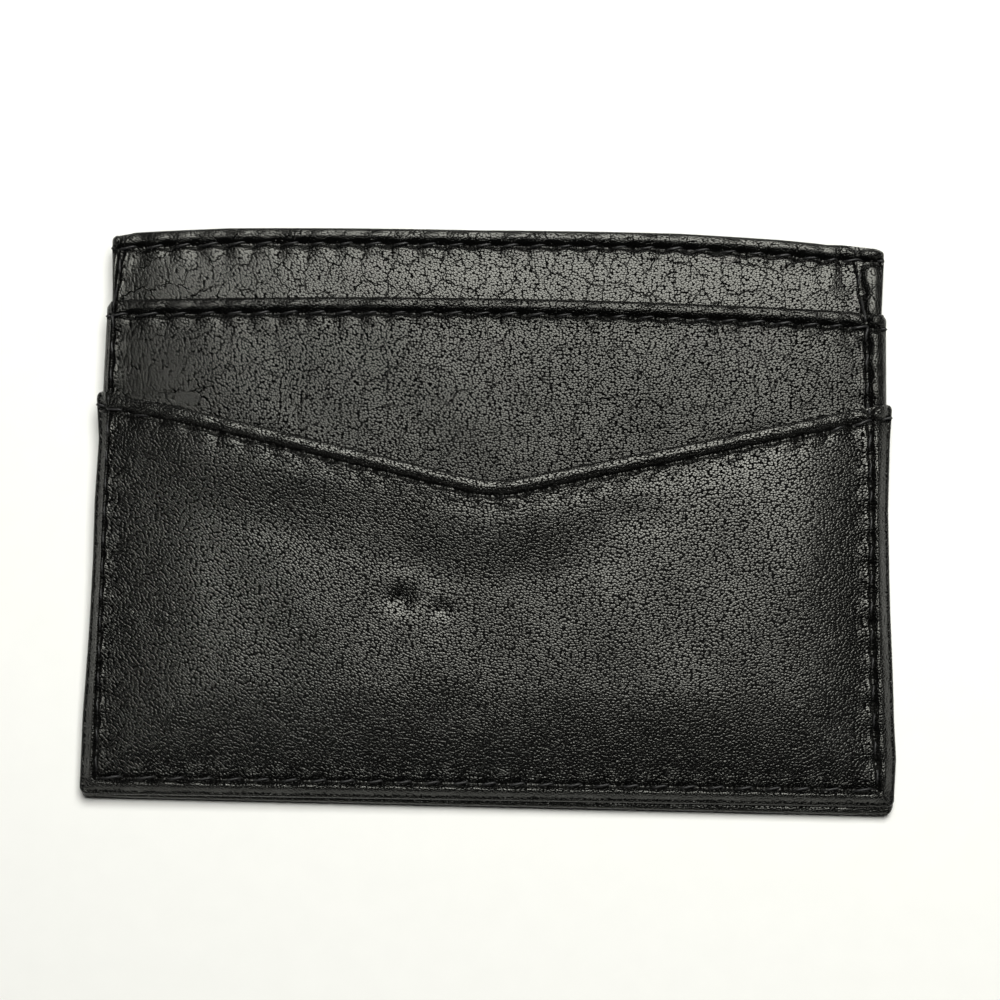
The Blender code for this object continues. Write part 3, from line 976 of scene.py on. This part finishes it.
# Painted board, and between which distances from the wallet it turns pale by itself
BOARD_MOTTLE = 0.004
BOARD_ROUGHNESS = 0.9
PALE_FROM = 0.15
PALE_TO = 0.55
PALE_SHARE = 0.85


def pebbled(tree, spot, pebble_size, pit_share):
    """Height of a grain of domed pebbles and pores, and how near the top of a pebble a point is, 0 to 1."""
    wandering = swayed(tree, spot, spot, GRAIN_DRIFT, 0.0, GRAIN_DRIFT_REACH)
    wandering = swayed(tree, wandering, spot, WOBBLE, 1.0, WOBBLE_REACH)
    x, y, z = add_node(tree, "SeparateXYZ", {0: wandering}).outputs
    across = worked_out(tree, "SUBTRACT", x, FLOW_MIDDLE)
    squared = worked_out(tree, "MULTIPLY", across, across)
    arched = {0: x, 1: worked_out(tree, "MULTIPLY_ADD", squared, -FLOW_BEND, y), 2: z}
    laid = stretched(tree, add_node(tree, "CombineXYZ", arched).outputs[0], (PEBBLE_STRETCH, 1, 1))
    from_middle = cells(tree, laid, pebble_size, "F1")
    rims = fading(tree, cells(tree, laid, pebble_size, "DISTANCE_TO_EDGE"), 0.0, RIM_WIDTH_SHARE)
    pores = noise(tree, laid, PORE, 1.0)[0]
    height = worked_out(tree, "MULTIPLY_ADD", pores, PORE_SHARE, 1.0)
    height = worked_out(tree, "SUBTRACT", height, worked_out(tree, "POWER", from_middle, DOME_POWER))
    height = worked_out(tree, "MULTIPLY_ADD", rims, -RIM_SHARE, height)
    tops = fading(tree, from_middle, PIT_FROM_SHARE, PIT_TO_SHARE)
    # Painted shade: the rims between pebbles lower the tops share, which draws them darker as well as rougher
    tops = worked_out(tree, "MULTIPLY_ADD", rims, -RIM_SHADE_SHARE, tops, use_clamp=True)
    return height, worked_out(tree, "MULTIPLY_ADD", tops, pit_share, 1 - pit_share)


def handling_creases(tree, spot, crease_share):
    """A broken net of fine creases between upright plates, as deep as the share says."""
    upright = swayed(tree, spot, spot, CREASE_SWAY, 2.0, CREASE_SWAY_REACH)
    upright = stretched(tree, upright, (1, CREASE_STRETCH, 1))
    from_crease = cells(tree, upright, PLATE, "DISTANCE_TO_EDGE")
    lines = fading(tree, from_crease, 0.0, CREASE_WIDTH_SHARE, interpolation_type="SMOOTHSTEP")
    least, most = CREASE_BREAK_SHARES
    broken = {"Value": noise(tree, spot, CREASE_BREAK, 1.0)[0], "From Min": least, "From Max": most}
    worked = ranged(tree, {**broken, "To Max": crease_share})
    return worked_out(tree, "MULTIPLY", lines, worked)


def full_grain_leather(name, pebble_size, grain_height, pit_share, crease_share, shine_share):
    """Black full-grain cowhide, drum dyed and lightly glazed: fine domed pebbles that lie in arcs across the
    hide, glossy on their tops, with shade painted into the pits between them, its creases and the grooves of
    its seams, under a soft broad sheen."""
    made, tree, shader, spot = new_material(name)
    grain, tops = pebbled(tree, spot, pebble_size, pit_share)
    patches = noise(tree, spot, PATCH, 3.0)[0]
    creases = handling_creases(tree, spot, crease_share)
    # Painted shade: the creases lower the tops share, so they are drawn darker as well as rougher
    tops = worked_out(tree, "SUBTRACT", tops, creases, use_clamp=True)
    rubbed = add_node(tree, "Attribute", attribute_name="rubbed").outputs["Fac"]
    groove_shade = add_node(tree, "Attribute", attribute_name="groove_shade").outputs["Fac"]
    kept_grain = worked_out(tree, "MULTIPLY_ADD", rubbed, -SMOOTHED_SHARE, 1.0)
    height = worked_out(tree, "MULTIPLY_ADD", creases, -1.0, grain)
    relief = add_node(tree, "Bump", {"Strength": kept_grain, "Distance": grain_height, "Height": height})
    # Painted shade: the pits, rims and creases get the darker of the two colours
    base_colour = mixed(tree, tops, linear("#010101"), linear("#050505"))
    worn = mixed(tree, worked_out(tree, "MULTIPLY", rubbed, WORN_SHARE), base_colour, linear("#0A0A0A"))
    # Painted shade: the grooves of the seams are drawn near black, and their gloss is dulled
    seam_shade = worked_out(tree, "MULTIPLY", groove_shade, SEAM_GROOVE_SHADE_SHARE)
    seam_shaded = mixed(tree, seam_shade, worn, linear("#020202"))
    glazed = worked_out(tree, "SUBTRACT", tops, seam_shade, use_clamp=True)
    rough = ranged(tree, {"Value": glazed, "To Min": PIT_ROUGHNESS, "To Max": TOP_ROUGHNESS})
    uneven = worked_out(tree, "MULTIPLY_ADD", patches, PATCH_ROUGHENING_SHARE, rough)
    fill(tree, shader, {"Base Color": seam_shaded, "Roughness": uneven, "Normal": relief.outputs[0]})
    shader.inputs["IOR"].default_value = LEATHER_REFRACTION
    shader.inputs["Specular IOR Level"].default_value = shine_share
    shader.inputs["Specular Tint"].default_value = linear("#FFFFF6")
    return made


def bonded_polyester_thread():
    """Black polyester filament, twisted and bonded: dull plies with fine fibres that catch a little light."""
    made, tree, shader, spot = new_material("bonded_polyester_thread")
    fibres = noise(tree, spot, FIBRE, 2.0)[0]
    relief = add_node(tree, "Bump", {"Distance": FIBRE_HEIGHT, "Height": fibres}).outputs[0]
    base_colour = mixed(tree, fibres, linear("#040404"), linear("#0D0D0D"))
    fill(tree, shader, {"Base Color": base_colour, "Normal": relief})
    shader.inputs["Roughness"].default_value = THREAD_ROUGHNESS
    shader.inputs["Sheen Weight"].default_value = THREAD_SHEEN_SHARE
    return made


def polyester_taffeta():
    """Dark grey lining taffeta, plain woven: a flat even cloth with a faint silky grid. Its threads
    are drawn as coarse as they need to show."""
    made, tree, shader, spot = new_material("polyester_taffeta")
    yarn = {"Vector": spot, "Scale": per(WEAVE_THREAD) / (2 * math.pi), "Distortion": WEAVE_UNEVENNESS}
    yarns = [add_node(tree, "TexWave", yarn, bands_direction=way).outputs["Fac"] for way in ("X", "Y")]
    weave = worked_out(tree, "MULTIPLY", *yarns)
    relief = add_node(tree, "Bump", {"Distance": WEAVE_HEIGHT, "Height": weave}).outputs[0]
    base_colour = mixed(tree, weave, linear("#1F1F20"), linear("#343435"))
    fill(tree, shader, {"Base Color": base_colour, "Normal": relief})
    shader.inputs["Roughness"].default_value = CLOTH_ROUGHNESS
    shader.inputs["Sheen Weight"].default_value = CLOTH_SHEEN_SHARE
    return made


def metallised_film():
    """Polyester film with a vapour-deposited metal face: silvery, a little crinkled and cloudy."""
    made, tree, shader, spot = new_material("metallised_film")
    crinkle = noise(tree, spot, FOIL_CRINKLE, 3.0)[0]
    relief = add_node(tree, "Bump", {"Distance": FOIL_CRINKLE_HEIGHT, "Height": crinkle}).outputs[0]
    clear, cloudy = FILM_ROUGHNESS
    rough = ranged(tree, {"Value": crinkle, "To Min": clear, "To Max": cloudy})
    silver = mixed(tree, crinkle, linear("#B4B6B8"), linear("#C9CACC"))
    fill(tree, shader, {"Base Color": silver, "Roughness": rough, "Normal": relief})
    shader.inputs["Metallic"].default_value = FILM_METAL_SHARE
    return made


def looking_rays(tree):
    """1 for the rays that look at the surroundings, straight, in a mirror or through glass, and 0 for the
    rays that light the object."""
    path = add_node(tree, "LightPath").outputs
    looking = worked_out(tree, "MAXIMUM", path["Is Camera Ray"], path["Is Glossy Ray"])
    return worked_out(tree, "MAXIMUM", looking, path["Is Transmission Ray"])


def painted_board():
    """A board with matt white emulsion: pale, even and without gloss. Beyond the lamps' reach it stays as
    pale to the eye as it is near the wallet, and lights nothing."""
    made, tree, shader, spot = new_material("painted_board")
    mottle = noise(tree, spot, BOARD_MOTTLE, 2.0)[0]
    away = add_node(tree, "VectorMath", {0: spot}, operation="LENGTH").outputs["Value"]
    away = ranged(tree, {"Value": away, "From Min": PALE_FROM, "From Max": PALE_TO, "To Max": PALE_SHARE})
    glow = worked_out(tree, "MULTIPLY", away, looking_rays(tree))
    painted = mixed(tree, mottle, linear("#EAEAE6"), linear("#EEEEEA"))
    fill(tree, shader, {"Base Color": painted, "Emission Strength": glow})
    shader.inputs["Roughness"].default_value = BOARD_ROUGHNESS
    shader.inputs["Emission Color"].default_value = linear("#FFFFFC")
    return made


def add_half(half_name, side, half, outer_name, finishes):
    """Every panel, sheet and thread of one half."""
    outer_leather, middle_leather, top_leather, thread, lining, film = finishes
    top, middle, outer = half["top"], half["middle"], half["outer"]
    top_name, middle_name = half_name + "_top", half_name + "_middle"
    add_leather(top_name + "_panel", side, half, top, top_leather)
    add_leather(middle_name + "_pocket", side, half, middle, middle_leather)
    add_leather(outer_name, side, half, outer, outer_leather)
    for name, panel in ((top_name, top), (middle_name, middle), (outer_name, outer)):
        add_mouth_thread(name + "_mouth_thread", side, half, panel, thread)
    add_edge_thread(half_name + "_edge_thread", side, half, thread)

    def level(height):
        """An edge or a depth that is the same all along."""
        return lambda along: np.full_like(along, height)

    def below_mouth(panel, distance):
        """An edge that follows a panel's mouth at a distance."""
        return lambda x: panel.mouth(x) - distance

    def in_flaps(y):
        """Depth of a sheet that lies between the turned flaps."""
        return outer.inner(y) + (FLAP - LINING) / 2

    low = BOTTOM + BOTTOM_SEAM - SEAM_ALLOWANCE
    inset = FLAP_WIDTH + FLAP_SKIVE + LAYER_GAP
    body_edges = (SHEET_HALF, low, below_mouth(top, LINING_REVEAL))
    tail_edges = (SHEET_HALF, low, level(middle.lower_edge + TIER_COVER))
    lining_edges = (outer.half_width - inset, outer.lower_edge + inset, below_mouth(outer, inset))
    shield_edges = (INNER_TIER - SHIELD_INSET, BOTTOM + SHIELD_INSET, level(TOP_MOUTH - SHIELD_INSET))
    cloth = (LINING, lining, "dark_lining")
    foil = (SHIELD, film, "shield_foil")
    body_name = half_name + "_body_lining"
    walls = [top_name + "_panel", outer_name]
    sheets = (
        (body_name, body_edges, level(BODY_LINING_DEPTH), cloth, walls),
        (middle_name + "_tail", tail_edges, level(TAIL_DEPTH), cloth, walls),
        (outer_name + "_lining", lining_edges, in_flaps, cloth, [outer_name]),
        (half_name + "_shield", shield_edges, level(SHIELD_DEPTH), foil, [body_name]),
    )
    for name, edges, depth, cut_from, held_by in sheets:
        add_sheet(name, side, *edges, depth, *cut_from, held_by)


all_finishes = [full_grain_leather(name, *wear) for name, wear in LEATHERS.items()]
all_finishes += [bonded_polyester_thread(), polyester_taffeta(), metallised_film()]
add_half("front", 1, FRONT, "front_v_pocket", all_finishes)
add_half("back", -1, BACK, "back_lower_pocket", all_finishes)

# The floor, just clear of the lowest stitches
FLOOR_HALF = 2.0
FLOOR_DROP = 0.00002

# The surroundings: pale walls up to a share of the way to straight above, fading into a dark ceiling
WORLD_STRENGTH = 0.01
WALL_TOP_SHARE = 0.04
CEILING_SHARE = 0.12

# Lamps: a soft box beyond the mouths, which the leather mirrors, and a faint one in front
LAMP_TINT = linear("#FFFFFC")[:3]
KEY_SPOT = (0.065, 0.226, 0.560)
KEY_AIM = (0.065, 0.226, 0.0)
KEY_SIZE = (0.31, 0.397)
KEY_POWER = 5.8
FILL_SPOT = (-0.200, -0.600, 0.350)
FILL_AIM = (0.0, 0.0, 0.0)
FILL_SIZE = (0.40, 0.40)
FILL_POWER = 0.03

# The camera, almost straight above the wallet
CAMERA_AIM = (0.00078, 0.00179, 0.0030)
CAMERA_DISTANCE = 0.300
CAMERA_TURN = [math.radians(angle) for angle in (7.58, -0.26, 0.94)]
CAMERA_LENS_MM = 85.18
CAMERA_FILM_MM = 36

corners = [(x * FLOOR_HALF, y * FLOOR_HALF, -FLOOR_DROP) for x, y in ((-1, -1), (1, -1), (1, 1), (-1, 1))]
floor = add_mesh("floor", corners, [[0, 1, 2, 3]], painted_board())

world = bpy.data.worlds.new("studio")
world.use_nodes = True
world_tree = world.node_tree
view_line = add_node(world_tree, "TexCoord").outputs["Generated"]
upward = add_node(world_tree, "SeparateXYZ", {0: view_line}).outputs[2]
walls = fading(world_tree, upward, WALL_TOP_SHARE, CEILING_SHARE)
seen = worked_out(world_tree, "MULTIPLY_ADD", walls, looking_rays(world_tree), WORLD_STRENGTH)
fill(world_tree, world_tree.nodes["Background"], {"Color": linear("#FFFFFC"), "Strength": seen})
bpy.context.scene.world = world


def add_lamp(name, spot, aim, size, power):
    """A flat soft box, wide and tall, that faces a point."""
    lamp = bpy.data.lights.new(name, "AREA")
    lamp.shape = "RECTANGLE"
    lamp.size, lamp.size_y = size
    lamp.energy = power
    lamp.color = LAMP_TINT
    made = add_object(name, lamp)
    made.location = spot
    made.rotation_euler = (Vector(spot) - Vector(aim)).to_track_quat("Z", "Y").to_euler()


add_lamp("key", KEY_SPOT, KEY_AIM, KEY_SIZE, KEY_POWER)
add_lamp("fill", FILL_SPOT, FILL_AIM, FILL_SIZE, FILL_POWER)

camera = add_object("camera", bpy.data.cameras.new("camera"))
camera.data.sensor_width = CAMERA_FILM_MM
camera.data.lens = CAMERA_LENS_MM
turn = Euler(CAMERA_TURN, "XYZ").to_matrix().to_4x4()
camera.matrix_world = Matrix.Translation(CAMERA_AIM) @ turn @ Matrix.Translation((0, 0, CAMERA_DISTANCE))
bpy.context.scene.camera = camera
bpy.context.scene.view_settings.view_transform = "Standard"
